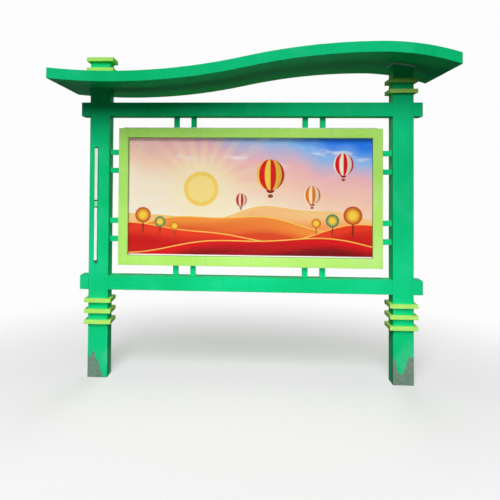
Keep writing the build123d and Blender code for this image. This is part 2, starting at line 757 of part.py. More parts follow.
# Cam locks: a flanged barrel through the lower case tube, its nut, and a plug with the cam
lock_barrel_rise = case_tube_width + lock_barrel_end
with BuildPart() as lock_barrels:
    with BuildSketch(Plane.XY.offset(board_bottom - lock_flange_height)):
        with Locations((-lock_x, lock_y), (lock_x, lock_y)):
            Circle(lock_flange_radius)
    extrude(amount=lock_flange_height)
    with BuildSketch(Plane.XY.offset(board_bottom)):
        with Locations((-lock_x, lock_y), (lock_x, lock_y)):
            Circle(lock_barrel_radius)
    extrude(amount=lock_barrel_rise)
    with BuildSketch(Plane.XY.offset(board_bottom - lock_flange_height)):
        with Locations((-lock_x, lock_y), (lock_x, lock_y)):
            Circle(lock_plug_radius + pin_gap)
    extrude(amount=lock_flange_height + lock_barrel_rise, mode=Mode.SUBTRACT)
lock_barrels.part.label = "lock_barrels"
export_step(lock_barrels.part, "parts/lock_barrels.step")

with BuildPart() as lock_nuts:
    with BuildSketch(Plane.XY.offset(board_bottom + case_tube_width)):
        with Locations((-lock_x, lock_y), (lock_x, lock_y)):
            RegularPolygon(lock_nut_across / 2, 6, major_radius=False)
            Circle(lock_barrel_radius + seat_gap, mode=Mode.SUBTRACT)
    extrude(amount=lock_nut_height)
lock_nuts.part.label = "lock_nuts"
export_step(lock_nuts.part, "parts/lock_nuts.step")

cam_bottom = board_bottom + lock_barrel_rise + cam_lift
cam_length = lock_axis_offset + keeper_width / 2 + cam_past_keeper
for side, sign in (("left", -1), ("right", 1)):
    with BuildPart() as lock_cam:
        with BuildSketch(Plane.XY.offset(board_bottom - lock_flange_height)):
            with Locations((sign * lock_x, lock_y)):
                Circle(lock_plug_radius)
                Rectangle(lock_key_length, lock_key_width, mode=Mode.SUBTRACT)
        extrude(amount=lock_key_depth)
        with BuildSketch(Plane.XY.offset(board_bottom - lock_flange_height + lock_key_depth)):
            with Locations((sign * lock_x, lock_y)):
                Circle(lock_plug_radius)
        extrude(amount=lock_flange_height - lock_key_depth + lock_barrel_rise + cam_lift)
        with BuildSketch(Plane.XY.offset(cam_bottom)):
            with Locations((sign * lock_x, lock_y)):
                Circle(cam_width / 2)
            with Locations((sign * lock_x, lock_y - cam_length / 2)):
                Rectangle(cam_width, cam_length)
        extrude(amount=cam_thickness)
    lock_cam.part.label = f"{side}_lock_cam"
    export_step(lock_cam.part, f"parts/{side}_lock_cam.step")

# Keepers on the door: an arm over the turned cam, with a lip that hangs down behind it
arm_bottom = cam_bottom + cam_thickness + keeper_cam_gap
lip_front = lock_y + cam_width / 2 + keeper_lip_gap
with BuildPart() as lock_keepers:
    for sign in (-1, 1):
        with BuildSketch(Plane.YZ.offset(sign * keeper_x - keeper_width / 2)):
            with BuildLine():
                Polyline(
                    (door_rear, arm_bottom),
                    (lip_front, arm_bottom),
                    (lip_front, arm_bottom - keeper_lip_drop),
                    (lip_front + keeper_sheet, arm_bottom - keeper_lip_drop),
                    (lip_front + keeper_sheet, arm_bottom + keeper_sheet),
                    (door_rear + keeper_sheet, arm_bottom + keeper_sheet),
                    (door_rear + keeper_sheet, arm_bottom + keeper_foot),
                    (door_rear, arm_bottom + keeper_foot),
                    close=True,
                )
            make_face()
        extrude(amount=keeper_width)
lock_keepers.part.label = "lock_keepers"
export_step(lock_keepers.part, "parts/lock_keepers.step")
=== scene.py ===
"""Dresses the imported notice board: finishes, fixings, weld beads, seals, studio and camera."""

import json
import logging
import math
from dataclasses import dataclass, replace
from enum import Enum

import bmesh
import bpy
from mathutils import Euler, Matrix, Vector
from mathutils.bvhtree import BVHTree


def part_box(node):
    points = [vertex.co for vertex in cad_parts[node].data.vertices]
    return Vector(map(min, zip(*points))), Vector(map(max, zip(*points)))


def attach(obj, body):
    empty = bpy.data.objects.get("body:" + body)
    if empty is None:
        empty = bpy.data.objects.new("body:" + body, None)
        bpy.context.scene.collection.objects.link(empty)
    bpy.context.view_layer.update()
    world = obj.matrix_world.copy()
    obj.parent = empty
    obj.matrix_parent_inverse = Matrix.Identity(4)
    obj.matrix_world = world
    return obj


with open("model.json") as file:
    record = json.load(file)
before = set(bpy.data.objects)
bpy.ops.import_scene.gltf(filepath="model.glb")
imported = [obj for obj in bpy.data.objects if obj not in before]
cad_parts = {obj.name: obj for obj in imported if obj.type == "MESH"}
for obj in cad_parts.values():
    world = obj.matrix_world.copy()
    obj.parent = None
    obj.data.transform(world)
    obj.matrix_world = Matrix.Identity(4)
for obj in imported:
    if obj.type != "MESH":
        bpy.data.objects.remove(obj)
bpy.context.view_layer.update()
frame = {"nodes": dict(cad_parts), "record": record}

LOG = logging.getLogger("notice_board")
SHARP_ANGLE = math.radians(40)
REARWARD = Vector((0, 1, 0))

Socket = bpy.types.NodeSocket
Value = float | tuple[float, ...] | Socket
Inputs = dict[str | int, Value]
Owner = bpy.types.Material | bpy.types.World
Pair = tuple[float, float]
Triple = tuple[float, float, float]
Colour = Triple


class Body(str, Enum):
    """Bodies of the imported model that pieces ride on."""

    FRAME = "frame"
    DOOR = "door"


class Slot(str, Enum):
    """Material slots of the record."""

    GREEN = "green_paint"
    LIME = "lime_paint"
    SEALANT = "sealant"
    WHITE = "white_trim"
    CLIP = "pale_clip"
    ZINC = "zinc_steel"
    BOARD = "backing_panel"
    POSTER = "poster_print"
    ALUMINIUM = "clamp_aluminium"
    GLAZING = "clear_glazing"
    RUBBER = "black_rubber"
    BRIGHT = "bright_steel"
    BLACK = "black_paint"


def linear(red: int, green: int, blue: int) -> Colour:
    """Turns a display colour of 0 to 255 into linear light."""
    parts = (channel / 255 for channel in (red, green, blue))
    return tuple(c / 12.92 if c <= 0.04045 else ((c + 0.055) / 1.055) ** 2.4 for c in parts)


@dataclass(frozen=True)
class Patch:
    """Patches of noise: cells per metre, octaves, the values they fade in between, and their full share."""

    scale: float
    detail: float
    low: float
    high: float
    share: float = 1.0
    stretch: Triple | None = None


class Graph:
    """Node tree of a material or of the world, with short calls for the nodes that the finishes share."""

    EDGE_SAMPLES = 4
    EDGE_TURN = (0.995, 0.9)
    MIX_FIRST, MIX_SECOND, MIX_RESULT = 6, 7, 2

    def __init__(self, owner: Owner, output: str = "ShaderNodeOutputMaterial") -> None:
        """Starts an empty tree with its output and Object coordinates.

        Args:
            owner: New material or world that the tree belongs to.
            output: Blender's type name of the output node.
        """
        self.owner = owner
        owner.use_nodes = True
        self.tree = owner.node_tree
        self.tree.nodes.clear()
        self.output = self.node(output)
        self.place = self.node("ShaderNodeTexCoord").outputs["Object"]
        self.x, self.y, self.z = self.split(self.place)

    def feed(self, socket: Socket, value: Value) -> None:
        """Links a socket to another one, or sets its value.

        Args:
            socket: Input socket.
            value: Output socket, number or colour.
        """
        if isinstance(value, bpy.types.NodeSocket):
            self.tree.links.new(value, socket)
        elif isinstance(value, tuple) and socket.type == "RGBA":
            socket.default_value = (*value, 1.0)
        else:
            socket.default_value = value

    def node(self, kind: str, inputs: Inputs | None = None, **settings: object) -> bpy.types.Node:
        """Adds a node.

        Args:
            kind: Blender's type name of the node.
            inputs: Values or sockets for its inputs, by name or number.
            **settings: Properties to set on it.

        Returns:
            The new node.
        """
        made = self.tree.nodes.new(kind)
        for key, value in settings.items():
            setattr(made, key, value)
        for key, value in (inputs or {}).items():
            self.feed(made.inputs[key], value)
        return made

    def split(self, vector: Socket) -> tuple[Socket, Socket, Socket]:
        """Parts of a vector along X, Y and Z."""
        return tuple(self.node("ShaderNodeSeparateXYZ", {0: vector}).outputs)

    def length(self, vector: Socket) -> Socket:
        """Length of a vector."""
        return self.node("ShaderNodeVectorMath", {0: vector}, operation="LENGTH").outputs["Value"]

    def math(self, operation: str, *values: Value, clamp: bool = False) -> Socket:
        """Result of a Math node on values in order, held between 0 and 1 where clamp is set."""
        inputs = dict(enumerate(values))
        return self.node("ShaderNodeMath", inputs, operation=operation, use_clamp=clamp).outputs[0]

    def mix(self, factor: Value, first: Value, second: Value) -> Socket:
        """Mix of two colours by the share of the second."""
        inputs = {"Factor": factor, self.MIX_FIRST: first, self.MIX_SECOND: second}
        return self.node("ShaderNodeMix", inputs, data_type="RGBA").outputs[self.MIX_RESULT]

    def fade(self, value: Value, low: float, high: float, start: float = 0.0, end: float = 1.0) -> Socket:
        """Maps a value smoothly from one range to another, held at both ends.

        Args:
            value: Value to map.
            low: Where the result starts.
            high: Where the result ends; it may be below low.
            start: Result at low.
            end: Result at high.

        Returns:
            The mapped value.
        """
        results = (end, start) if low > high else (start, end)
        inputs = dict(enumerate((value, min(low, high), max(low, high), *results)))
        return self.node("ShaderNodeMapRange", inputs, interpolation_type="SMOOTHSTEP").outputs[0]

    def stretch(
        self, scale: Triple, shift: Triple = (0.0, 0.0, 0.0), source: Socket | None = None
    ) -> Socket:
        """Coordinates scaled and then shifted; Object coordinates where no source is given."""
        inputs = {"Vector": source or self.place, "Location": shift, "Scale": scale}
        return self.node("ShaderNodeMapping", inputs).outputs[0]

    def noise(self, scale: float, detail: float, source: Socket | None = None) -> Socket:
        """Fractal noise around one half, from its cells per metre and octaves."""
        inputs = {"Vector": source or self.place, "Scale": scale, "Detail": detail}
        return self.node("ShaderNodeTexNoise", inputs).outputs[0]

    def patches(self, patch: Patch) -> Socket:
        """Mask of noise patches, from 0 to their full share."""
        noise = self.noise(patch.scale, patch.detail, self.stretch(patch.stretch) if patch.stretch else None)
        return self.fade(noise, patch.low, patch.high, 0.0, patch.share)

    def ramp(self, value: Value, stops: tuple[tuple[float, Colour], ...]) -> Socket:
        """Runs a value through a colour ramp.

        Args:
            value: Position on the ramp.
            stops: Positions and colours.

        Returns:
            The colour.
        """
        made = self.node("ShaderNodeValToRGB", {0: value})
        elements = made.color_ramp.elements
        while len(elements) < len(stops):
            elements.new(1.0)
        for element, (position, colour) in zip(elements, stops):
            element.position = position
            element.color = (*colour, 1.0)
        return made.outputs[0]

    def edges(self, radius: float) -> tuple[Socket, Socket]:
        """Rounds edges in the shading and finds them.

        Args:
            radius: Radius of the rounding.

        Returns:
            The rounded normal, and a mask that is 1 on the edges.
        """
        rounded = self.node("ShaderNodeBevel", {"Radius": radius}, samples=self.EDGE_SAMPLES).outputs[0]
        plain = self.node("ShaderNodeNewGeometry").outputs["Normal"]
        turn = self.node("ShaderNodeVectorMath", {0: rounded, 1: plain}, operation="DOT_PRODUCT")
        return rounded, self.fade(turn.outputs["Value"], *self.EDGE_TURN)

    def bump(self, height: Value, strength: float, depth: float, normal: Socket | None = None) -> Socket:
        """Normal with a relief added, from its height, the share that shows and its depth in metres."""
        inputs = {"Height": height, "Strength": strength, "Distance": depth}
        return self.node("ShaderNodeBump", inputs | ({"Normal": normal} if normal else {})).outputs[0]

    def shade(self, **inputs: Value) -> Owner:
        """Ends the tree with a Principled shader.

        Args:
            **inputs: Its inputs by name, with underscores for spaces.

        Returns:
            The finished material.
        """
        named = {key.replace("_", " "): value for key, value in inputs.items()}
        self.feed(self.output.inputs["Surface"], self.node("ShaderNodeBsdfPrincipled", named).outputs[0])
        return self.owner


def started(name: str) -> Graph:
    """Starts the node tree of a new material."""
    return Graph(bpy.data.materials.new(name))


@dataclass(frozen=True)
class Splash:
    """A painted pale sheen low on the posts, and grey mud on their feet with an upper line across each
    front.
    """

    left: tuple[Pair, ...]
    right: tuple[Pair, ...]
    post_x: float = 1.128
    post_width: float = 0.15
    line_noise: Pair = (38.0, 6.0)
    line_ragged: float = 0.12
    line_edge: Pair = (-0.004, 0.01)
    rear_noise: Pair = (24.0, 6.0)
    rear_ragged: float = 0.2
    rear_edge: Pair = (0.07, 0.055)
    tone_noise: Pair = (60.0, 6.0)
    tones: tuple[Colour, Colour] = (linear(88, 106, 98), linear(156, 162, 156))
    cover: float = 0.88
    roughening: float = 0.3
    # Painted sheen: pale patches low on the posts, fading out upwards, stand in for a highlight.
    painted_sheen: Patch = Patch(7.0, 6.0, 0.42, 0.7, 0.4)
    sheen_height: Pair = (0.46, 0.06)
    sheen_tone: Colour = linear(112, 226, 182)

    def mask(self, graph: Graph) -> Socket:
        """Finds the mud.

        Args:
            graph: Tree to add to.

        Returns:
            1 on the mud.
        """
        noise, ragged = graph.noise(*self.line_noise), self.line_ragged
        level = graph.math("ADD", graph.z, graph.math("MULTIPLY_ADD", noise, ragged, -ragged / 2))
        masks = []
        for side, line in ((-1.0, self.left), (1.0, self.right)):
            start = 0.5 - side * self.post_x / self.post_width
            across = graph.math("MULTIPLY_ADD", graph.x, 1 / self.post_width, start, clamp=True)
            height = graph.ramp(across, tuple((place, (rise,) * 3) for place, rise in line))
            below = graph.math("SUBTRACT", height, level)
            here = graph.math("GREATER_THAN", graph.math("MULTIPLY", graph.x, side), 0.0)
            masks.append(graph.math("MULTIPLY", graph.fade(below, *self.line_edge), here))
        torn = graph.math("MULTIPLY_ADD", graph.noise(*self.rear_noise), self.rear_ragged, graph.y)
        return graph.math("MULTIPLY", graph.math("ADD", *masks), graph.fade(torn, *self.rear_edge))

    def lay(self, graph: Graph, tone: Socket, rough: Socket) -> tuple[Socket, Socket]:
        """Lays the painted sheen and the mud over a finish.

        Args:
            graph: Tree to add to.
            tone: Colour so far.
            rough: Roughness so far.

        Returns:
            The colour and the roughness.
        """
        # Painted sheen: the posts are painted paler in patches near their feet, in place of a highlight.
        painted_sheen = graph.math("MULTIPLY", graph.fade(graph.z, *self.sheen_height), graph.patches(self.painted_sheen))
        tone = graph.mix(painted_sheen, tone, self.sheen_tone)
        mud = self.mask(graph)
        grey = graph.mix(graph.noise(*self.tone_noise), *self.tones)
        tone = graph.mix(graph.math("MULTIPLY", mud, self.cover), tone, grey)
        return tone, graph.math("MULTIPLY_ADD", mud, self.roughening, rough)


RAIN_RUNS = Patch(1.0, 5.0, 0.56, 0.8, 0.22, (40.0, 40.0, 1.2))


@dataclass(frozen=True)
class PaintFinish:
    """Outdoor paint on steel: tone drift, rain streaks, dust on ledges, worn edges and orange peel."""

    name: str
    colour: Colour
    deep: Colour
    worn: Colour
    grime: Colour
    edge: float
    roughness: float = 0.36
    ior: float = 1.05
    splash: Splash | None = None
    drift: Patch = Patch(1.7, 5.0, 0.35, 0.68)
    chalk: Patch = Patch(6.0, 6.0, 0.5, 0.75, 0.16)
    runs: Patch = RAIN_RUNS
    scratches: Patch = Patch(1.0, 2.0, 0.68, 0.74, 0.16, (300.0, 300.0, 12.0))
    scratched: Patch = Patch(4.0, 3.0, 0.5, 0.66)
    specks: Patch = Patch(210.0, 2.0, 0.66, 0.72, 0.3)
    chips: Patch = Patch(60.0, 5.0, 0.46, 0.62, 0.7)
    dull: Patch = Patch(22.0, 4.0, 0.3, 0.7, 0.16)
    dust: Patch = Patch(11.0, 9.0, 0.3, 0.85, 0.2)
    dust_tone: Colour = linear(150, 150, 132)
    dust_roughness: float = 0.5
    wall: Pair = (0.7, 0.3)
    ledge: Pair = (0.6, 0.95)
    sag_noise: Pair = (11.0, 2.0)
    sag_height: float = 1.6
    peel_noise: Pair = (320.0, 2.0)
    peel_relief: Pair = (0.14, 0.0006)

    def build(self) -> Owner:
        """Builds the material.

        Returns:
            The material.
        """
        graph = started(self.name)
        up = graph.split(graph.node("ShaderNodeNewGeometry").outputs["Normal"])[2]
        wall = graph.fade(graph.math("ABSOLUTE", up), *self.wall)
        runs = graph.math("MULTIPLY", graph.patches(self.runs), wall)
        lines = graph.math("MULTIPLY", graph.patches(self.scratches), graph.patches(self.scratched))
        rounded, edge = graph.edges(self.edge)
        chips = graph.math("MULTIPLY", edge, graph.patches(self.chips))
        dusty = graph.math("MULTIPLY", graph.fade(up, *self.ledge), graph.patches(self.dust))
        tone = graph.mix(graph.patches(self.drift), self.colour, self.deep)
        for mask, layer in (
            (graph.patches(self.chalk), self.worn),
            (runs, self.grime),
            (lines, self.worn),
            (graph.patches(self.specks), self.grime),
            (chips, self.worn),
            (dusty, self.dust_tone),
        ):
            tone = graph.mix(mask, tone, layer)
        rough = graph.math("ADD", graph.patches(self.dull), self.roughness)
        rough = graph.math("MULTIPLY_ADD", dusty, self.dust_roughness, rough)
        if self.splash:
            tone, rough = self.splash.lay(graph, tone, rough)
        sag = graph.noise(*self.sag_noise)
        peel = graph.math("MULTIPLY_ADD", sag, self.sag_height, graph.noise(*self.peel_noise))
        normal = graph.bump(peel, *self.peel_relief, rounded)
        return graph.shade(Base_Color=tone, Roughness=rough, Normal=normal, IOR=self.ior)


@dataclass(frozen=True)
class MetalFinish:
    """Bare or plated metal with fine brushing and dull stains."""

    name: str
    colour: Colour
    dull: Colour
    roughness: float
    metallic: float
    stain: Patch = Patch(26.0, 5.0, 0.35, 0.7)
    stain_roughness: float = 0.16
    brushed: Triple = (4.0, 260.0, 260.0)
    hair_noise: Pair = (1.0, 3.0)
    hair_share: float = 0.18
    hair_relief: Pair = (0.08, 0.0003)
    edge: float = 0.0008

    def build(self) -> Owner:
        """Builds the material.

        Returns:
            The material.
        """
        graph = started(self.name)
        hairs = graph.noise(*self.hair_noise, graph.stretch(self.brushed))
        stain = graph.patches(self.stain)
        tone = graph.mix(stain, self.colour, self.dull)
        tone = graph.mix(graph.math("MULTIPLY", hairs, self.hair_share), tone, self.dull)
        rough = graph.math("MULTIPLY_ADD", stain, self.stain_roughness, self.roughness)
        rounded, _ = graph.edges(self.edge)
        normal = graph.bump(hairs, *self.hair_relief, rounded)
        return graph.shade(Base_Color=tone, Roughness=rough, Normal=normal, Metallic=self.metallic)


@dataclass(frozen=True)
class PlainFinish:
    """Plastic, rubber, sealant or board: tone drift, grime and a fine grain."""

    name: str
    colour: Colour
    grime: Colour
    roughness: float
    grain: float
    relief: float
    drift: Patch = Patch(13.0, 6.0, 0.42, 0.78)
    drift_share: float = 0.4
    drift_roughness: float = 0.12
    grain_detail: float = 3.0
    grain_strength: float = 0.2
    speck_fade: Pair = (0.45, 0.75)
    speck_share: float = 0.18
    edge: float = 0.001

    def build(self) -> Owner:
        """Builds the material.

        Returns:
            The material.
        """
        graph = started(self.name)
        drift = graph.patches(self.drift)
        grain = graph.noise(self.grain, self.grain_detail)
        tone = graph.mix(graph.math("MULTIPLY", drift, self.drift_share), self.colour, self.grime)
        tone = graph.mix(graph.fade(grain, *self.speck_fade, 0.0, self.speck_share), tone, self.grime)
        rough = graph.math("MULTIPLY_ADD", drift, self.drift_roughness, self.roughness)
        rounded, _ = graph.edges(self.edge)
        normal = graph.bump(grain, self.grain_strength, self.relief, rounded)
        return graph.shade(Base_Color=tone, Roughness=rough, Normal=normal)


@dataclass(frozen=True)
class GlazingFinish:
    """Clear sheet that lets the light through and keeps a thin reflection, with dried water marks."""

    name: str
    clean: Colour = (0.01, 0.014, 0.013)
    marked: Colour = (0.09, 0.1, 0.1)
    marks: Patch = Patch(1.0, 5.0, 0.58, 0.8, 1.0, (22.0, 22.0, 3.0))
    mark_roughness: float = 0.12
    roughness: float = 0.03
    cover: float = 0.05

    def build(self) -> Owner:
        """Builds the material.

        Returns:
            The material.
        """
        graph = started(self.name)
        marks = graph.patches(self.marks)
        tone = graph.mix(marks, self.clean, self.marked)
        rough = graph.math("MULTIPLY_ADD", marks, self.mark_roughness, self.roughness)
        return graph.shade(Base_Color=tone, Roughness=rough, Alpha=self.cover)


class Print(Graph):
    """Node tree of a printed sheet, which is painted layer by layer."""

    def __init__(self, name: str, middle: float) -> None:
        """Starts with a white sheet.

        Args:
            name: Name of the material.
            middle: Height of the sheet's middle.
        """
        super().__init__(bpy.data.materials.new(name))
        self.sheet = self.stretch((1.0, 1.0, 1.0), (0.0, 0.0, -middle))
        self.across, _, self.up = self.split(self.sheet)
        self.tone: Value = (1.0, 1.0, 1.0)

    def lay(self, mask: Value, ink: Value) -> None:
        """Lays ink over the print where a mask is 1."""
        self.tone = self.mix(mask, self.tone, ink)

    def disc(self, x: float, z: float, wide: float, tall: float) -> Socket:
        """Coordinates round a point of the sheet, of length 1 on an ellipse of two radii."""
        return self.stretch((1 / wide, 0.0, 1 / tall), (-x / wide, 0.0, -z / tall), self.sheet)

    def stamp(self, disc: Socket, ink: Value, rim: float = 0.1) -> None:
        """Fills an ellipse with ink, up to a soft rim."""
        self.lay(self.fade(self.length(disc), 1.0, 1.0 - rim), ink)


@dataclass(frozen=True)
class Sun:
    """The printed sun: rays, and rings that each fade in from one radius to another."""

    x: float
    z: float
    radius: float
    rings: tuple[tuple[Pair, float, Colour], ...]
    ray_ink: Colour
    ray_count: float = 22.0
    ray_edge: Pair = (-0.2, 0.3)
    ray_reach: Pair = (6.0, 1.0)
    ray_share: float = 0.35

    def paint(self, sheet: Print) -> None:
        """Paints the sun.

        Args:
            sheet: Sheet to paint on.
        """
        away = sheet.length(sheet.disc(self.x, self.z, self.radius, self.radius))
        rise, run = sheet.math("SUBTRACT", sheet.up, self.z), sheet.math("SUBTRACT", sheet.across, self.x)
        turns = sheet.math("MULTIPLY", sheet.math("ARCTAN2", rise, run), self.ray_count)
        rays = sheet.fade(sheet.math("SINE", turns), *self.ray_edge)
        reach = sheet.fade(away, *self.ray_reach, 0.0, self.ray_share)
        sheet.lay(sheet.math("MULTIPLY", reach, rays), self.ray_ink)
        for radii, share, ink in self.rings:
            sheet.lay(sheet.fade(away, *radii, 0.0, share), ink)


@dataclass(frozen=True)
class Clouds:
    """Soft printed clouds in the upper half of the sky."""

    wisps: Patch = Patch(1.0, 6.0, 0.54, 0.72, 0.75, (3.2, 1.0, 11.0))
    height: Pair = (0.0, 0.3)
    ink: Colour = linear(255, 250, 246)

    def paint(self, sheet: Print) -> None:
        """Paints the clouds on a sheet."""
        high = sheet.fade(sheet.up, *self.height)
        sheet.lay(sheet.math("MULTIPLY", high, sheet.patches(self.wisps)), self.ink)


@dataclass(frozen=True)
class Balloon:
    """One striped balloon with a basket; its proportions are shares of its radius."""

    x: float
    z: float
    radius: float
    stripe: Colour
    ground: Colour
    tall: float = 1.12
    girth: float = 1.02
    pole: float = 0.995
    rim: float = 0.03
    stripe_pace: float = 7.8
    stripe_edge: float = 0.12
    shade: Colour = linear(110, 10, 10)
    shade_start: float = -0.1
    shade_share: float = 0.35
    throat: Pair = (0.3, 0.2)
    throat_ink: Colour = linear(150, 20, 16)
    basket: Pair = (0.2, 0.14)
    basket_drop: float = 1.52
    basket_ink: Colour = linear(150, 72, 20)

    def paint(self, sheet: Print) -> None:
        """Paints the balloon.

        Args:
            sheet: Sheet to paint on.
        """
        size, tall = self.radius, self.tall * self.radius
        throat = (share * size for share in self.throat)
        sheet.stamp(sheet.disc(self.x, self.z - tall, *throat), self.throat_ink)
        body = sheet.disc(self.x, self.z, size, tall)
        along, _, rise = sheet.split(body)
        below = sheet.math("MINIMUM", sheet.math("MULTIPLY", rise, rise), self.pole)
        chord = sheet.math("SQRT", sheet.math("SUBTRACT", self.girth, below))
        lean = sheet.math("DIVIDE", along, chord)
        wave = sheet.math("SINE", sheet.math("MULTIPLY", lean, self.stripe_pace))
        band = sheet.fade(wave, -self.stripe_edge, self.stripe_edge)
        cloth = sheet.mix(band, self.ground, self.stripe)
        cloth = sheet.mix(sheet.fade(lean, self.shade_start, 1.0, 0.0, self.shade_share), cloth, self.shade)
        sheet.stamp(body, cloth, self.rim)
        basket = (share * size for share in self.basket)
        sheet.stamp(sheet.disc(self.x, self.z - self.basket_drop * size, *basket), self.basket_ink)


@dataclass(frozen=True)
class Hill:
    """One rolling ridge of the printed landscape, with faint folds and a gold line along its crest."""

    level: float
    swells: tuple[Triple, ...]
    crest: Colour
    foot: Colour
    fall: float
    fold_pace: float = 46.0
    fold_slant: float = 5.0
    fold_share: float = 0.14
    line: Pair = (0.009, 0.006)
    line_ink: Colour = linear(255, 210, 90)
    rim: float = 0.001

    def paint(self, sheet: Print) -> None:
        """Paints the ridge.

        Args:
            sheet: Sheet to paint on.
        """
        height: Value = self.level
        for swell, pace, phase in self.swells:
            wave = sheet.math("SINE", sheet.math("MULTIPLY_ADD", sheet.across, pace, phase))
            height = sheet.math("MULTIPLY_ADD", wave, swell, height)
        depth = sheet.math("SUBTRACT", height, sheet.up)
        slant = sheet.math("MULTIPLY", sheet.across, self.fold_slant)
        folds = sheet.math("SINE", sheet.math("MULTIPLY_ADD", depth, self.fold_pace, slant))
        shade = sheet.math("MULTIPLY_ADD", folds, self.fold_share, sheet.fade(depth, 0.0, self.fall))
        land = sheet.mix(shade, self.crest, self.foot)
        land = sheet.mix(sheet.fade(depth, *self.line), land, self.line_ink)
        sheet.lay(sheet.fade(depth, -self.rim, self.rim), land)


@dataclass(frozen=True)
class Tree:
    """One round printed tree; its proportions are shares of its crown's radius."""

    x: float
    z: float
    radius: float
    leaf: Colour
    heart: Colour = linear(255, 214, 70)
    heart_reach: float = 0.25
    rim: float = 0.04
    trunk: Pair = (0.09, 1.1)
    trunk_drop: float = 1.3
    trunk_ink: Colour = linear(120, 40, 14)

    def paint(self, sheet: Print) -> None:
        """Paints the tree.

        Args:
            sheet: Sheet to paint on.
        """
        size = self.radius
        trunk = (share * size for share in self.trunk)
        sheet.stamp(sheet.disc(self.x, self.z - self.trunk_drop * size, *trunk), self.trunk_ink)
        crown = sheet.disc(self.x, self.z, size, size)
        leaves = sheet.mix(sheet.fade(sheet.length(crown), self.heart_reach, 1.0), self.heart, self.leaf)
        sheet.stamp(crown, leaves, self.rim)


@dataclass(frozen=True)
class PosterFinish:
    """Printed film with a made-up sunrise landscape, its motifs painted in order over the sky."""

    name: str
    middle: float
    # Painted highlight: below this height the sheet is painted white, in place of the lit lower lip of the
    # frame's opening.
    margin: float
    sky: tuple[tuple[float, Colour], ...]
    motifs: tuple[Sun | Clouds | Balloon | Hill | Tree, ...]
    # Painted light: the print gives out a faint glow of its own, though no lamp is in the case, so that it
    # stays bright under the roof's shade.
    painted_glow: float = 0.16
    ior: float = 1.25
    horizon: float = -0.42
    tilt: float = 0.24
    haze: float = 0.3
    haze_noise: Pair = (2.2, 4.0)
    painted_highlight: Colour = linear(252, 252, 246)
    highlight_rim: float = 0.001
    paper_noise: Pair = (700.0, 2.0)
    paper_relief: Pair = (0.05, 0.0002)
    paper_fade: Pair = (0.3, 0.7)
    roughness: Pair = (0.42, 0.54)

    def build(self) -> Owner:
        """Builds the material.

        Returns:
            The material.
        """
        sheet = Print(self.name, self.middle)
        drift = sheet.math("MULTIPLY_ADD", sheet.noise(*self.haze_noise), self.haze, -self.haze / 2)
        height = sheet.math("SUBTRACT", sheet.up, self.horizon)
        height = sheet.math("MULTIPLY_ADD", sheet.across, self.tilt, height)
        sheet.tone = sheet.ramp(sheet.math("ADD", height, drift), self.sky)
        for motif in self.motifs:
            motif.paint(sheet)
        # Painted highlight: a white band along the bottom of the print stands in for the lit lower lip.
        sheet.lay(sheet.fade(sheet.up, self.margin, self.margin - self.highlight_rim), self.painted_highlight)
        paper = sheet.noise(*self.paper_noise)
        return sheet.shade(
            Base_Color=sheet.tone,
            Roughness=sheet.fade(paper, *self.paper_fade, *self.roughness),
            Normal=sheet.bump(paper, *self.paper_relief),
            IOR=self.ior,
            # Painted light: the print glows faintly in its own colours.
            Emission_Color=sheet.tone,
            Emission_Strength=self.painted_glow,
        )


POSTER = PosterFinish(
    name="poster_print",
    # Painted highlight: top of the white band along the bottom of the print.
    middle=1.3565,
    margin=-0.4335,
    sky=(
        (0.0, linear(255, 248, 230)),
        (0.36, linear(255, 240, 214)),
        (0.55, linear(255, 210, 184)),
        (0.72, linear(250, 190, 194)),
        (0.88, linear(140, 196, 252)),
        (1.0, linear(30, 128, 250)),
    ),
    motifs=(
        Sun(
            x=-0.36,
            z=0.06,
            radius=0.13,
            rings=(
                ((2.6, 0.9), 0.8, linear(255, 240, 196)),
                ((1.02, 0.98), 1.0, linear(255, 214, 96)),
                ((0.8, 0.76), 1.0, linear(255, 228, 140)),
            ),
            ray_ink=linear(255, 236, 190),
        ),
        Clouds(),
        Balloon(0.16, 0.17, 0.105, linear(226, 16, 20), linear(255, 208, 70)),
        Balloon(0.47, 0.02, 0.062, linear(240, 120, 20), linear(255, 240, 200)),
        Balloon(-0.06, -0.02, 0.045, linear(200, 20, 40), linear(255, 226, 190)),
        Balloon(0.7, 0.25, 0.075, linear(226, 16, 20), linear(255, 245, 225)),
        Hill(-0.12, ((0.05, 4.2, 0.4), (0.02, 9.5, 1.0)), linear(255, 206, 140), linear(250, 160, 90), 0.16),
        Hill(-0.19, ((0.055, 3.1, 2.2), (0.018, 8.0, 0.2)), linear(250, 150, 60), linear(228, 70, 30), 0.16),
        Hill(-0.26, ((0.06, 3.6, 4.4), (0.02, 7.2, 2.6)), linear(240, 60, 30), linear(205, 10, 14), 0.16),
        Tree(-0.8, -0.14, 0.06, linear(205, 60, 10)),
        Tree(-0.67, -0.19, 0.042, linear(16, 120, 90)),
        Tree(-0.56, -0.22, 0.034, linear(220, 110, 10)),
        Tree(0.5, -0.19, 0.036, linear(220, 110, 10)),
        Tree(0.62, -0.17, 0.05, linear(16, 120, 90)),
        Tree(0.77, -0.13, 0.07, linear(205, 50, 10)),
        Hill(-0.35, ((0.05, 2.6, 0.9), (0.02, 6.1, 3.9)), linear(222, 12, 16), linear(120, 0, 4), 0.13),
    ),
)

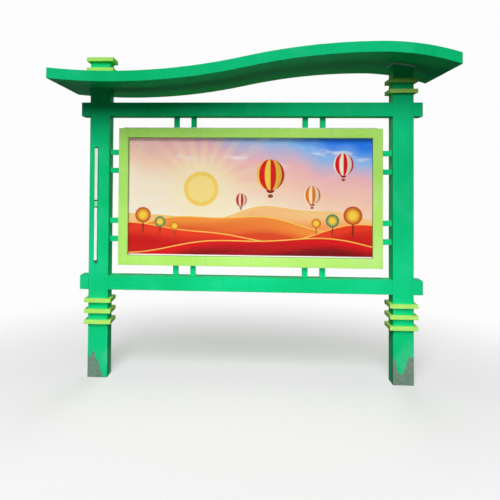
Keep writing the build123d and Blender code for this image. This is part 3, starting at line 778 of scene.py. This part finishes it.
FINISHES = {
    Slot.GREEN: PaintFinish(
        name="green_paint",
        colour=linear(22, 218, 142),
        deep=linear(14, 204, 124),
        worn=linear(78, 230, 178),
        grime=linear(6, 120, 72),
        edge=0.004,
        splash=Splash(
            left=((0.0, 0.15), (0.12, 0.16), (0.3, 0.2), (0.55, 0.11), (0.75, 0.03), (1.0, 0.0)),
            right=((0.0, 0.2), (0.1, 0.2), (0.22, 0.1), (0.5, 0.09), (0.75, 0.21), (1.0, 0.22)),
        ),
    ),
    Slot.LIME: PaintFinish(
        name="lime_paint",
        colour=linear(194, 250, 124),
        deep=linear(180, 242, 108),
        worn=linear(232, 252, 200),
        grime=linear(110, 160, 60),
        edge=0.002,
        runs=replace(RAIN_RUNS, share=0.18),
    ),
    Slot.SEALANT: PlainFinish("sealant", linear(238, 240, 238), linear(200, 204, 202), 0.6, 180.0, 0.0008),
    Slot.WHITE: PlainFinish("white_trim", linear(252, 254, 253), linear(230, 236, 230), 0.3, 240.0, 0.0002),
    Slot.CLIP: PlainFinish("pale_clip", linear(150, 236, 196), linear(110, 200, 160), 0.35, 240.0, 0.0002),
    Slot.ZINC: MetalFinish("zinc_steel", (0.56, 0.57, 0.58), (0.38, 0.39, 0.4), 0.4, 0.9),
    Slot.BOARD: PlainFinish("backing", linear(226, 228, 224), linear(188, 190, 184), 0.55, 120.0, 0.0003),
    Slot.POSTER: POSTER,
    Slot.ALUMINIUM: MetalFinish("plain_aluminium", (0.76, 0.77, 0.78), (0.62, 0.63, 0.64), 0.36, 0.9),
    Slot.GLAZING: GlazingFinish("clear_glazing"),
    Slot.RUBBER: PlainFinish("black_rubber", (0.018, 0.018, 0.018), (0.06, 0.06, 0.055), 0.7, 300.0, 0.0006),
    Slot.BRIGHT: MetalFinish("bright_steel", (0.78, 0.79, 0.8), (0.6, 0.61, 0.62), 0.2, 1.0),
    Slot.BLACK: PaintFinish(
        name="black_paint",
        colour=(0.02, 0.02, 0.021),
        deep=(0.012, 0.012, 0.013),
        worn=(0.2, 0.2, 0.2),
        grime=(0.05, 0.045, 0.04),
        edge=0.001,
        roughness=0.24,
    ),
}


class Workshop:
    """Keeps the built finishes, dresses CAD nodes and turns meshes into pieces."""

    def __init__(self) -> None:
        """Builds every finish once."""
        self.materials = {slot: finish.build() for slot, finish in FINISHES.items()}

    def dress(self) -> None:
        """Gives every CAD node the finish of its slot in the record."""
        for row in frame["record"]["subparts"]:
            node = frame["nodes"][row["node"]]
            node.data.materials.clear()
            node.data.materials.append(self.materials[Slot(row["material_slot"])])
            LOG.info("dressed %s in %s", row["node"], row["material_slot"])

    def piece(self, name: str, shape: bmesh.types.BMesh, body: Body, slot: Slot) -> None:
        """Turns a shape into a piece that rides on a body.

        Args:
            name: Name of the piece.
            shape: Its shape, which is freed.
            body: Body that carries it.
            slot: Slot of its finish.
        """
        bmesh.ops.recalc_face_normals(shape, faces=shape.faces)
        mesh = bpy.data.meshes.new(name)
        shape.to_mesh(mesh)
        shape.free()
        mesh.polygons.foreach_set("use_smooth", [True] * len(mesh.polygons))
        mesh.set_sharp_from_angle(angle=SHARP_ANGLE)
        mesh.materials.append(self.materials[slot])
        made = bpy.data.objects.new(name, mesh)
        bpy.context.scene.collection.objects.link(made)
        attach(made, body.value)
        LOG.info("piece %s, %d faces", name, len(mesh.polygons))


def turned(place: Vector, axis: Vector) -> Matrix:
    """Placement at a point with local Z turned to an axis."""
    return Matrix.Translation(place) @ axis.to_track_quat("Z", "Y").to_matrix().to_4x4()


def spaced(low: float, high: float, margin: float, pitch: float) -> list[float]:
    """Even places between two ends, a margin in from both, at the pitch that divides best."""
    count = round((high - low) / pitch)
    return [low + margin + step * (high - low - 2 * margin) / count for step in range(count + 1)]


def join(shape: bmesh.types.BMesh, part: bmesh.types.BMesh, place: Matrix) -> None:
    """Moves a finished part into a shape.

    Args:
        shape: Shape to add to.
        part: Part to move, which is freed.
        place: Placement of the part.
    """
    bmesh.ops.transform(part, matrix=place, verts=part.verts)
    scrap = bpy.data.meshes.new("part")
    part.to_mesh(scrap)
    part.free()
    shape.from_mesh(scrap)
    bpy.data.meshes.remove(scrap)


def raise_faces(shape: bmesh.types.BMesh, height: float) -> bmesh.types.BMFace:
    """Extrudes all faces of a flat shape along Z.

    Args:
        shape: Shape to extrude.
        height: Height of the extrusion.

    Returns:
        One of the raised faces.
    """
    raised = bmesh.ops.extrude_face_region(shape, geom=shape.faces[:])["geom"]
    verts = [part for part in raised if isinstance(part, bmesh.types.BMVert)]
    bmesh.ops.translate(shape, verts=verts, vec=(0.0, 0.0, height))
    return next(part for part in raised if isinstance(part, bmesh.types.BMFace))


def round_edges(
    shape: bmesh.types.BMesh, edges: list[bmesh.types.BMEdge], radius: float, segments: int = 2
) -> None:
    """Rounds edges of a shape, with a number of facets across the rounding."""
    bmesh.ops.bevel(
        shape, geom=edges, offset=radius, offset_type="OFFSET", affect="EDGES",
        segments=segments, profile=0.5, material=-1,
    )


def add_block(shape: bmesh.types.BMesh, low: Vector, high: Vector, rounding: float) -> None:
    """Adds a rounded block between two corners, for a weld bead, a strap or a cap.

    Args:
        shape: Shape to add to.
        low: Lowest corner.
        high: Highest corner.
        rounding: Radius along its edges.
    """
    place = Matrix.Translation((low + high) / 2) @ Matrix.Diagonal((*(high - low), 1.0))
    made = bmesh.ops.create_cube(shape, size=1.0, matrix=place)["verts"]
    round_edges(shape, list({edge for vert in made for edge in vert.link_edges}), rounding)


@dataclass(frozen=True)
class Rivet:
    """A rivet's domed head, half sunk into its sheet."""

    radius: float
    height: float

    def add(self, shape: bmesh.types.BMesh, place: Vector, axis: Vector) -> None:
        """Adds one head at a place on the sheet, outward along an axis."""
        seat = turned(place, axis) @ Matrix.Diagonal((1.0, 1.0, self.height / self.radius, 1.0))
        bmesh.ops.create_uvsphere(shape, u_segments=10, v_segments=6, radius=self.radius, matrix=seat)


@dataclass(frozen=True)
class Screw:
    """A pan-head screw with a round sunk drive; the proportions are shares of its height or radius."""

    radius: float
    height: float
    rounding: float = 0.45
    rim: float = 0.4
    drive: float = 0.6

    def add(self, shape: bmesh.types.BMesh, place: Vector, axis: Vector) -> None:
        """Adds one screw.

        Args:
            shape: Shape to add to.
            place: Centre of the seat.
            axis: Outward direction.
        """
        head = bmesh.new()
        bmesh.ops.create_circle(head, cap_ends=True, segments=12, radius=self.radius)
        top = raise_faces(head, self.height)
        round_edges(head, list(top.edges), self.rounding * self.height)
        crown = max(head.faces, key=lambda face: face.calc_center_median().z)
        bmesh.ops.inset_individual(head, faces=[crown], thickness=self.rim * self.radius)
        bmesh.ops.translate(head, verts=crown.verts[:], vec=(0.0, 0.0, -self.drive * self.height))
        join(shape, head, turned(place, axis))


@dataclass(frozen=True)
class Seal:
    """A rectangular ring of sealant or rubber, with its free side rounded by a share of its section."""

    width: float
    depth: float
    rounding: float = 0.4
    corner: float = 1.0

    def add(self, shape: bmesh.types.BMesh, size: Pair, place: Matrix) -> None:
        """Adds one ring, flat in local XY.

        Args:
            shape: Shape to add to.
            size: Outer length along local X and Y.
            place: Placement.
        """
        ring = bmesh.new()
        flat = Matrix.Diagonal((*size, 1.0, 1.0))
        bmesh.ops.create_grid(ring, x_segments=1, y_segments=1, size=0.5, matrix=flat)
        middle = next(iter(ring.faces))
        bmesh.ops.inset_individual(ring, faces=[middle], thickness=self.width, use_even_offset=True)
        bmesh.ops.delete(ring, geom=[middle], context="FACES_ONLY")
        raise_faces(ring, self.depth)
        upper = [edge for edge in ring.edges if min(vert.co.z for vert in edge.verts) > self.depth / 2]
        rims = [edge for edge in upper if edge.calc_face_angle(0.0) > self.corner]
        round_edges(ring, rims, self.rounding * min(self.width, self.depth), segments=3)
        join(shape, ring, place)


@dataclass
class Assembly:
    """A sub-assembly that gets its fixings, beads and seals from a workshop."""

    workshop: Workshop


@dataclass
class PostPair(Assembly):
    """The two posts, with four screws in each hand-hole cover."""

    screw: Screw = Screw(0.0055, 0.003)
    screw_margin: float = 0.012

    def build(self) -> None:
        """Builds the screws of both covers."""
        for side in ("left", "right"):
            low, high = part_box(f"{side}_hand_hole_cover")
            shape = bmesh.new()
            for x in (low.x + self.screw_margin, high.x - self.screw_margin):
                for z in (low.z + self.screw_margin, high.z - self.screw_margin):
                    self.screw.add(shape, Vector((x, high.y, z)), REARWARD)
            self.workshop.piece(f"{side}_cover_screws", shape, Body.FRAME, Slot.BRIGHT)


@dataclass
class AccentStrips(Assembly):
    """The white strips on the left post: green channel walls beside them and dark caps on their ends."""

    wall: float = 0.0012
    wall_rounding: float = 0.3
    lip: float = 0.002
    cap_length: float = 0.008
    cap_wall: float = 0.0016
    cap_rounding: float = 0.5

    def build(self) -> None:
        """Builds the channel walls and the end caps."""
        walls = bmesh.new()
        caps = bmesh.new()
        for strip in ("upper_accent_strip", "lower_accent_strip"):
            low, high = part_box(strip)
            for near, far in ((low.x - self.wall, low.x), (high.x, high.x + self.wall)):
                first = Vector((near, low.y + self.lip, low.z))
                add_block(walls, first, Vector((far, high.y, high.z)), self.wall_rounding * self.wall)
            for end, inward in ((low.z, 1), (high.z, -1)):
                start, stop = sorted((end, end + inward * self.cap_length))
                first = Vector((low.x - self.cap_wall, low.y - self.cap_wall, start))
                last = Vector((high.x + self.cap_wall, high.y, stop))
                add_block(caps, first, last, self.cap_rounding * self.cap_wall)
        self.workshop.piece("strip_channels", walls, Body.FRAME, Slot.GREEN)
        self.workshop.piece("strip_end_caps", caps, Body.FRAME, Slot.RUBBER)


@dataclass
class StubSet(Assembly):
    """The stubs between the case, the posts and the beams, with a weld bead at both ends of each."""

    leg: float = 0.004
    rounding: float = 0.45
    half: float = 0.02

    def build(self) -> None:
        """Builds the beads of the four rows."""
        for row, along, across in (
            ("top_stubs", 2, 0), ("bottom_stubs", 2, 0), ("left_stubs", 0, 2), ("right_stubs", 0, 2)
        ):
            low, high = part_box(row)
            shape = bmesh.new()
            for centre in self.centres(row, across):
                for end, inward in ((low[along], 1), (high[along], -1)):
                    first = Vector((0.0, low.y - self.leg, 0.0))
                    last = Vector((0.0, high.y + self.leg, 0.0))
                    first[across] = centre - self.half - self.leg
                    last[across] = centre + self.half + self.leg
                    first[along], last[along] = sorted((end, end + inward * self.leg))
                    add_block(shape, first, last, self.rounding * self.leg)
            self.workshop.piece(f"{row}_welds", shape, Body.FRAME, Slot.GREEN)

    def centres(self, row: str, across: int) -> list[float]:
        """Middles of a row's stubs along the axis that they are lined up on."""
        places = {round(vert.co[across], 4) for vert in frame["nodes"][row].data.vertices}
        return [place + self.half for place in sorted(places) if round(place + 2 * self.half, 4) in places]


@dataclass
class WaveRoof(Assembly):
    """The wave roof: rivets along its top edges, straps over the sheet joints, seals round the left post."""

    rivet: Rivet = Rivet(0.005, 0.0012)
    rivet_pitch: float = 0.2
    edge_margin: float = 0.02
    strap_width: float = 0.036
    strap_thickness: float = 0.003
    strap_rounding: float = 0.0012
    strap_places: Pair = (-0.4767, 0.4767)
    seal: Seal = Seal(0.007, 0.007)
    seal_gap: float = 0.0005
    reach: float = 4.0

    def sheet(self, node: str) -> BVHTree:
        """Search tree of a roof sheet."""
        mesh = frame["nodes"][node].data
        return BVHTree.FromPolygons([v.co for v in mesh.vertices], [p.vertices for p in mesh.polygons])

    def meet(self, sheet: BVHTree, x: float, y: float, way: int = 1) -> tuple[Vector, Vector]:
        """Point and normal where an upright line meets a sheet, from above or, where way is -1, below."""
        return sheet.ray_cast(Vector((x, y, way * self.reach)), Vector((0, 0, -way)))[:2]

    def build(self) -> None:
        """Builds the rivets, straps and seals."""
        low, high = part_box("roof_top_sheet")
        top = self.sheet("roof_top_sheet")
        rivets = bmesh.new()
        for x in spaced(low.x, high.x, self.edge_margin, self.rivet_pitch):
            for y in (low.y + self.edge_margin, high.y - self.edge_margin):
                self.rivet.add(rivets, *self.meet(top, x, y))
        self.workshop.piece("roof_rivets", rivets, Body.FRAME, Slot.GREEN)
        straps = bmesh.new()
        half = Vector((self.strap_width, high.y - low.y, self.strap_thickness)) / 2
        for x in self.strap_places:
            place, normal = self.meet(top, x, 0.0)
            block = bmesh.new()
            add_block(block, -half, half, self.strap_rounding)
            lean = Matrix.Rotation(math.atan2(normal.x, normal.z), 4, "Y")
            join(straps, block, Matrix.Translation(place) @ lean)
        self.workshop.piece("roof_straps", straps, Body.FRAME, Slot.GREEN)
        self.build_seals()

    def build_seals(self) -> None:
        """Builds the sealant rings where the left post passes through the soffit and the top sheet."""
        low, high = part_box("left_post")
        middle = (low + high) / 2
        side = high.x - low.x + 2 * (self.seal_gap + self.seal.width)
        for node, name, slot, way in (
            ("roof_soffit", "left_soffit_seal", Slot.GREEN, -1),
            ("roof_top_sheet", "left_roof_seal", Slot.SEALANT, 1),
        ):
            sheet = self.sheet(node)
            edges = (middle.x - side / 2, middle.x + side / 2)
            near, far = (self.meet(sheet, x, 0.0, way)[0].z for x in edges)
            seat = Matrix.Translation((middle.x, middle.y, (near + far) / 2))
            turn = Matrix.Rotation(-math.atan2(far - near, side), 4, "Y")
            flip = Matrix.Rotation(math.pi if way < 0 else 0.0, 4, "X")
            shape = bmesh.new()
            self.seal.add(shape, (side, side), seat @ turn @ flip)
            self.workshop.piece(name, shape, Body.FRAME, slot)


@dataclass
class PosterCase(Assembly):
    """The poster case: rivets round its back panel and screws along the poster clamps."""

    rivet: Rivet = Rivet(0.005, 0.0016)
    rivet_pitch: float = 0.16
    rivet_margin: float = 0.009
    screw: Screw = Screw(0.0035, 0.002)
    screw_count: int = 9
    screw_inset: float = 0.006

    def build(self) -> None:
        """Builds the rivets and screws."""
        low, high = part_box("case_back_panel")
        across = spaced(low.x, high.x, self.rivet_margin, self.rivet_pitch)
        up = spaced(low.z, high.z, self.rivet_margin, self.rivet_pitch)
        spots = [(x, z) for x in across for z in (up[0], up[-1])]
        spots += [(x, z) for z in up[1:-1] for x in (across[0], across[-1])]
        rivets = bmesh.new()
        for x, z in spots:
            self.rivet.add(rivets, Vector((x, high.y, z)), REARWARD)
        self.workshop.piece("back_panel_rivets", rivets, Body.FRAME, Slot.ALUMINIUM)
        low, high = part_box("poster_clamps")
        screws = bmesh.new()
        for step in range(self.screw_count):
            x = low.x + (step + 0.5) * (high.x - low.x) / self.screw_count
            for z in (low.z + self.screw_inset, high.z - self.screw_inset):
                self.screw.add(screws, Vector((x, low.y, z)), -REARWARD)
        self.workshop.piece("clamp_screws", screws, Body.FRAME, Slot.BRIGHT)


@dataclass
class LiftDoor(Assembly):
    """The lift-up door: a thin rubber line round the glazing, inside the lip."""

    seal: Seal = Seal(0.002, 0.003)

    def build(self) -> None:
        """Builds the rubber line."""
        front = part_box("door_glazing")[0].y
        inner_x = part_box("door_right_stile")[0].x
        low_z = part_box("door_bottom_rail")[1].z
        high_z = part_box("door_top_rail")[0].z
        seat = Matrix.Translation((0.0, front, (low_z + high_z) / 2))
        turn = Matrix.Rotation(math.radians(90), 4, "X")
        shape = bmesh.new()
        self.seal.add(shape, (2 * inner_x, high_z - low_z), seat @ turn)
        self.workshop.piece("glazing_rubber", shape, Body.DOOR, Slot.RUBBER)


@dataclass
class DoorGear(Assembly):
    """Struts and locks: screws through the strut brackets and through the keepers' feet."""

    screw: Screw = Screw(0.0035, 0.002)
    sheet: float = 0.003
    case_spread: float = 0.022
    door_spread: float = 0.017
    door_inset: float = 0.016
    keeper_drop: float = 0.0055
    keeper_insets: Pair = (0.006, 0.018)

    def build(self) -> None:
        """Builds the screws on the case and on the door."""
        low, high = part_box("strut_case_brackets")
        middle = (low + high) / 2
        case_screws = bmesh.new()
        for side in (-1, 1):
            for rise in (-self.case_spread, self.case_spread):
                place = Vector((side * (high.x - self.sheet), middle.y, middle.z + rise))
                self.screw.add(case_screws, place, Vector((-side, 0, 0)))
        self.workshop.piece("case_bracket_screws", case_screws, Body.FRAME, Slot.BRIGHT)
        low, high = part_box("strut_door_brackets")
        middle = (low + high) / 2
        x = high.x - self.door_inset
        spots = [(x, middle.z + rise) for rise in (-self.door_spread, self.door_spread)]
        self.fix("door_bracket_screws", spots, low.y + self.sheet)
        low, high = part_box("lock_keepers")
        spots = [(high.x - inset, high.z - self.keeper_drop) for inset in self.keeper_insets]
        self.fix("keeper_screws", spots, low.y + self.sheet)

    def fix(self, name: str, spots: list[Pair], seat: float) -> None:
        """Builds screws into the rear of the door, the same on both sides of its middle.

        Args:
            name: Name of the piece.
            spots: Places along the door and up it.
            seat: Depth of the screws' seats.
        """
        shape = bmesh.new()
        for side in (-1, 1):
            for x, z in spots:
                self.screw.add(shape, Vector((side * x, seat, z)), REARWARD)
        self.workshop.piece(name, shape, Body.DOOR, Slot.BRIGHT)


@dataclass(frozen=True)
class Lamp:
    """One soft lamp: where it hangs, what it faces, its size, power, fan of light and whether it glints."""

    name: str
    place: Triple
    aim: Triple
    size: Pair
    power: float
    spread: float
    glints: bool

    def hang(self) -> None:
        """Hangs the lamp."""
        data = bpy.data.lights.new(self.name, "AREA")
        data.shape = "RECTANGLE"
        data.size, data.size_y = self.size
        data.spread = math.radians(self.spread)
        data.energy = self.power
        hung = bpy.data.objects.new(self.name, data)
        hung.location = self.place
        hung.rotation_euler = (Vector(self.aim) - Vector(self.place)).to_track_quat("-Z", "Y").to_euler()
        hung.visible_camera = False
        hung.visible_glossy = self.glints
        bpy.context.scene.collection.objects.link(hung)


@dataclass
class Studio:
    """Pale floor, soft lights, white surroundings and the camera at the photograph's angle."""

    floor_reach: float = 30.0
    shadow_reach: Pair = (0.6, 3.6)
    shadow_white: float = 0.35
    camera_place: Triple = (-0.04106, -5.04919, 1.48516)
    camera_turn: Triple = (91.4002, -0.4288, 3.7809)
    sensor: float = 36.0
    lens: float = 47.986
    shift: Pair = (0.10094, -0.17304)
    ambient: float = 0.05
    bounce: float = 0.09
    pale: float = 0.95
    white: float = 0.98
    lamps: tuple[Lamp, ...] = (
        Lamp("key", (-0.9, -8.2, 7.8), (0.0, 0.0, 1.2), (3.0, 5.6), 845.0, 180.0, True),
        Lamp("low_fill", (0.0, -3.4, 0.9), (0.0, 0.0, 0.35), (3.2, 0.6), 10.0, 60.0, False),
        Lamp("rear_fill", (0.8, 6.5, 3.2), (0.0, 0.0, 1.2), (3.0, 1.6), 34.0, 75.0, False),
    )

    def seen(self, graph: Graph, mirrored: bool) -> Socket:
        """Share of rays that look at the surroundings rather than light the object from them.

        Args:
            graph: Tree to add to.
            mirrored: Whether reflections count as looking.

        Returns:
            1 for the rays that look.
        """
        path = graph.node("ShaderNodeLightPath")
        rays = graph.math("MAXIMUM", path.outputs["Is Camera Ray"], path.outputs["Is Transmission Ray"])
        return graph.math("MAXIMUM", rays, path.outputs["Is Glossy Ray"]) if mirrored else rays

    def blend(self, graph: Graph, share: Socket, lit: bpy.types.Node, white: bpy.types.Node) -> None:
        """Ends a tree with a mix of two shaders.

        Args:
            graph: Tree to end.
            share: Share of the white shader.
            lit: Shader that lights the object.
            white: Shader of the white background.
        """
        graph.feed(white.inputs["Color"], (self.white,) * 3)
        mixed = graph.node("ShaderNodeMixShader", {0: share, 1: lit.outputs[0], 2: white.outputs[0]})
        graph.feed(graph.output.inputs["Surface"], mixed.outputs[0])

    def build_floor(self) -> None:
        """Floor that keeps the shadow near the object and fades to white further off."""
        shape = bmesh.new()
        bmesh.ops.create_grid(shape, x_segments=1, y_segments=1, size=self.floor_reach)
        mesh = bpy.data.meshes.new("floor")
        shape.to_mesh(mesh)
        shape.free()
        floor = bpy.data.objects.new("floor", mesh)
        bpy.context.scene.collection.objects.link(floor)
        graph = started("pale_floor")
        tone = graph.mix(self.seen(graph, True), (self.bounce,) * 3, (self.pale,) * 3)
        plain = graph.node("ShaderNodeBsdfDiffuse", {"Color": tone})
        whiter = graph.fade(graph.length(graph.place), *self.shadow_reach, self.shadow_white)
        share = graph.math("MULTIPLY", whiter, self.seen(graph, False))
        self.blend(graph, share, plain, graph.node("ShaderNodeEmission"))
        mesh.materials.append(graph.owner)

    def build_world(self) -> None:
        """White surroundings that light the object only a little."""
        world = bpy.data.worlds.new("surroundings")
        graph = Graph(world, "ShaderNodeOutputWorld")
        dim = graph.node("ShaderNodeBackground", {"Color": (1.0, 1.0, 1.0), "Strength": self.ambient})
        self.blend(graph, self.seen(graph, True), dim, graph.node("ShaderNodeBackground"))
        bpy.context.scene.world = world

    def build_camera(self) -> None:
        """Camera fitted to the photograph."""
        data = bpy.data.cameras.new("camera")
        data.sensor_width = self.sensor
        data.lens = self.lens
        data.shift_x, data.shift_y = self.shift
        camera = bpy.data.objects.new("camera", data)
        camera.location = self.camera_place
        camera.rotation_euler = Euler([math.radians(angle) for angle in self.camera_turn])
        bpy.context.scene.collection.objects.link(camera)
        bpy.context.scene.camera = camera

    def build(self) -> None:
        """Builds the whole studio."""
        self.build_floor()
        self.build_world()
        self.build_camera()
        for lamp in self.lamps:
            lamp.hang()
        bpy.context.scene.view_settings.view_transform = "Standard"


def main() -> None:
    """Builds the finishes, pieces and studio in order."""
    logging.basicConfig(level=logging.INFO, format="%(name)s: %(message)s")
    workshop = Workshop()
    workshop.dress()
    for assembly in (PostPair, AccentStrips, StubSet, WaveRoof, PosterCase, LiftDoor, DoorGear):
        assembly(workshop).build()
    Studio().build()


if __name__ == "__main__":
    main()
